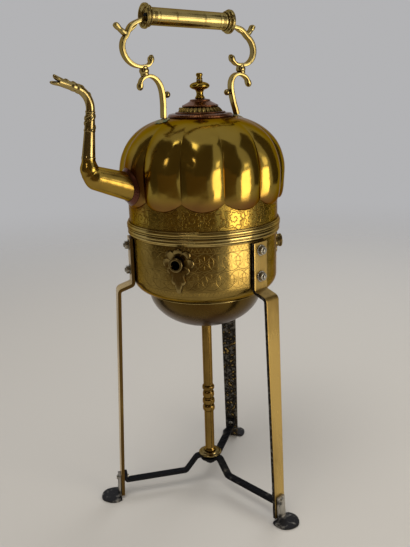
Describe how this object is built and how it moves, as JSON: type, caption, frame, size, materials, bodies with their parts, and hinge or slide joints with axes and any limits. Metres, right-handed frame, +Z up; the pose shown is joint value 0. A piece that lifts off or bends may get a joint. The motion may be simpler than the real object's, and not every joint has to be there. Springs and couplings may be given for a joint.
{
  "type": "spirit kettle on stand",
  "caption": "Lobed brass kettle with cranked spout, hinged lid and scroll handle, resting in a round brazier with a spirit burner on a tall three-legged stand.",
  "frame": {"origin": "on the stand's axis, which is also the kettle's and the lid's, at the table top", "axes": "+Z up; the spout points to -X, so the handle's plane is XZ; the lid's hinge is on +Y; legs at 43.5, 163.5 and 283.5 degrees anticlockwise from +X"},
  "size_m": [0.2835, 0.2464, 0.5931],
  "materials": {
    "brass_polished": "polished, worn and a little dented, browned in the hollows",
    "brass_aged": "dull olive brass, engraved, heat-stained below",
    "brass_leg": "worn brass with blackened inner faces",
    "brass_burner": "plain spun brass",
    "copper_red": "copper, reddened and smoky",
    "iron_black": "blackened wrought iron, worn bright on the tongues",
    "steel_bright": "worn, tinned-looking",
    "cotton": "plaited wick, charred at its top"
  },
  "bodies": {
    "stand": {"fire_wall": "brass_aged", "fire_rim": "brass_aged", "fire_bowl": "brass_aged", "lamp_seat": "brass_aged", "air_socket_front": "brass_aged", "air_socket_right": "brass_aged", "air_socket_rear": "brass_aged", "socket_plate_front": "brass_aged", "socket_plate_right": "brass_aged", "socket_plate_rear": "brass_aged", "leg_right": "brass_leg", "leg_left": "brass_leg", "leg_rear": "brass_leg", "leg_bolts": "steel_bright", "leg_washers": "steel_bright", "leg_nuts": "steel_bright", "foot_right": "iron_black", "foot_left": "iron_black", "foot_rear": "iron_black", "foot_rivets": "steel_bright", "arm_right": "iron_black", "arm_left": "iron_black", "arm_rear": "iron_black", "hub_plate": "iron_black", "hub_washer": "brass_leg", "hub_nut": "iron_black", "column": "brass_leg", "column_nut": "steel_bright"},
    "burner": {"burner_tank": "brass_burner", "burner_top": "brass_burner", "wick_tube": "brass_burner", "wick": "cotton"},
    "kettle": {"kettle_dome": "brass_polished", "kettle_foot": "brass_polished", "kettle_bottom": "copper_red", "lid_collar": "copper_red", "spout_flange": "copper_red", "spout_root": "brass_polished", "spout_neck": "brass_polished", "spout_beak": "brass_polished", "bracket_front": "brass_polished", "bracket_back": "brass_polished", "pad_front": "brass_polished", "pad_back": "brass_polished", "grip_tube": "brass_polished", "grip_cap_front": "brass_polished", "grip_cap_back": "brass_polished", "grip_rod": "iron_black", "hinge_leaf": "brass_polished", "hinge_pin": "steel_bright"},
    "lid": {"lid_base": "copper_red", "lid_tab": "brass_polished", "lid_band": "brass_polished", "lid_cone": "copper_red", "lid_finial": "brass_polished", "finial_button": "brass_polished"}
  },
  "joints": [
    {"name": "kettle_lift", "type": "slide", "parent": "stand", "child": "kettle", "axis": [0, 0, 1], "range_m": [0, 0.16]},
    {"name": "burner_lift", "type": "slide", "parent": "stand", "child": "burner", "axis": [0, 0, 1], "range_m": [0, 0.128]},
    {"name": "lid_hinge", "type": "hinge", "parent": "kettle", "child": "lid", "pos_m": [0, 0.032, 0.4807], "axis": [-1, 0, 0], "range_deg": [0, 110]}
  ],
  "couplings": [
    {"joint": "burner_lift", "follows": "kettle_lift", "ratio": 0.8}
  ]
}
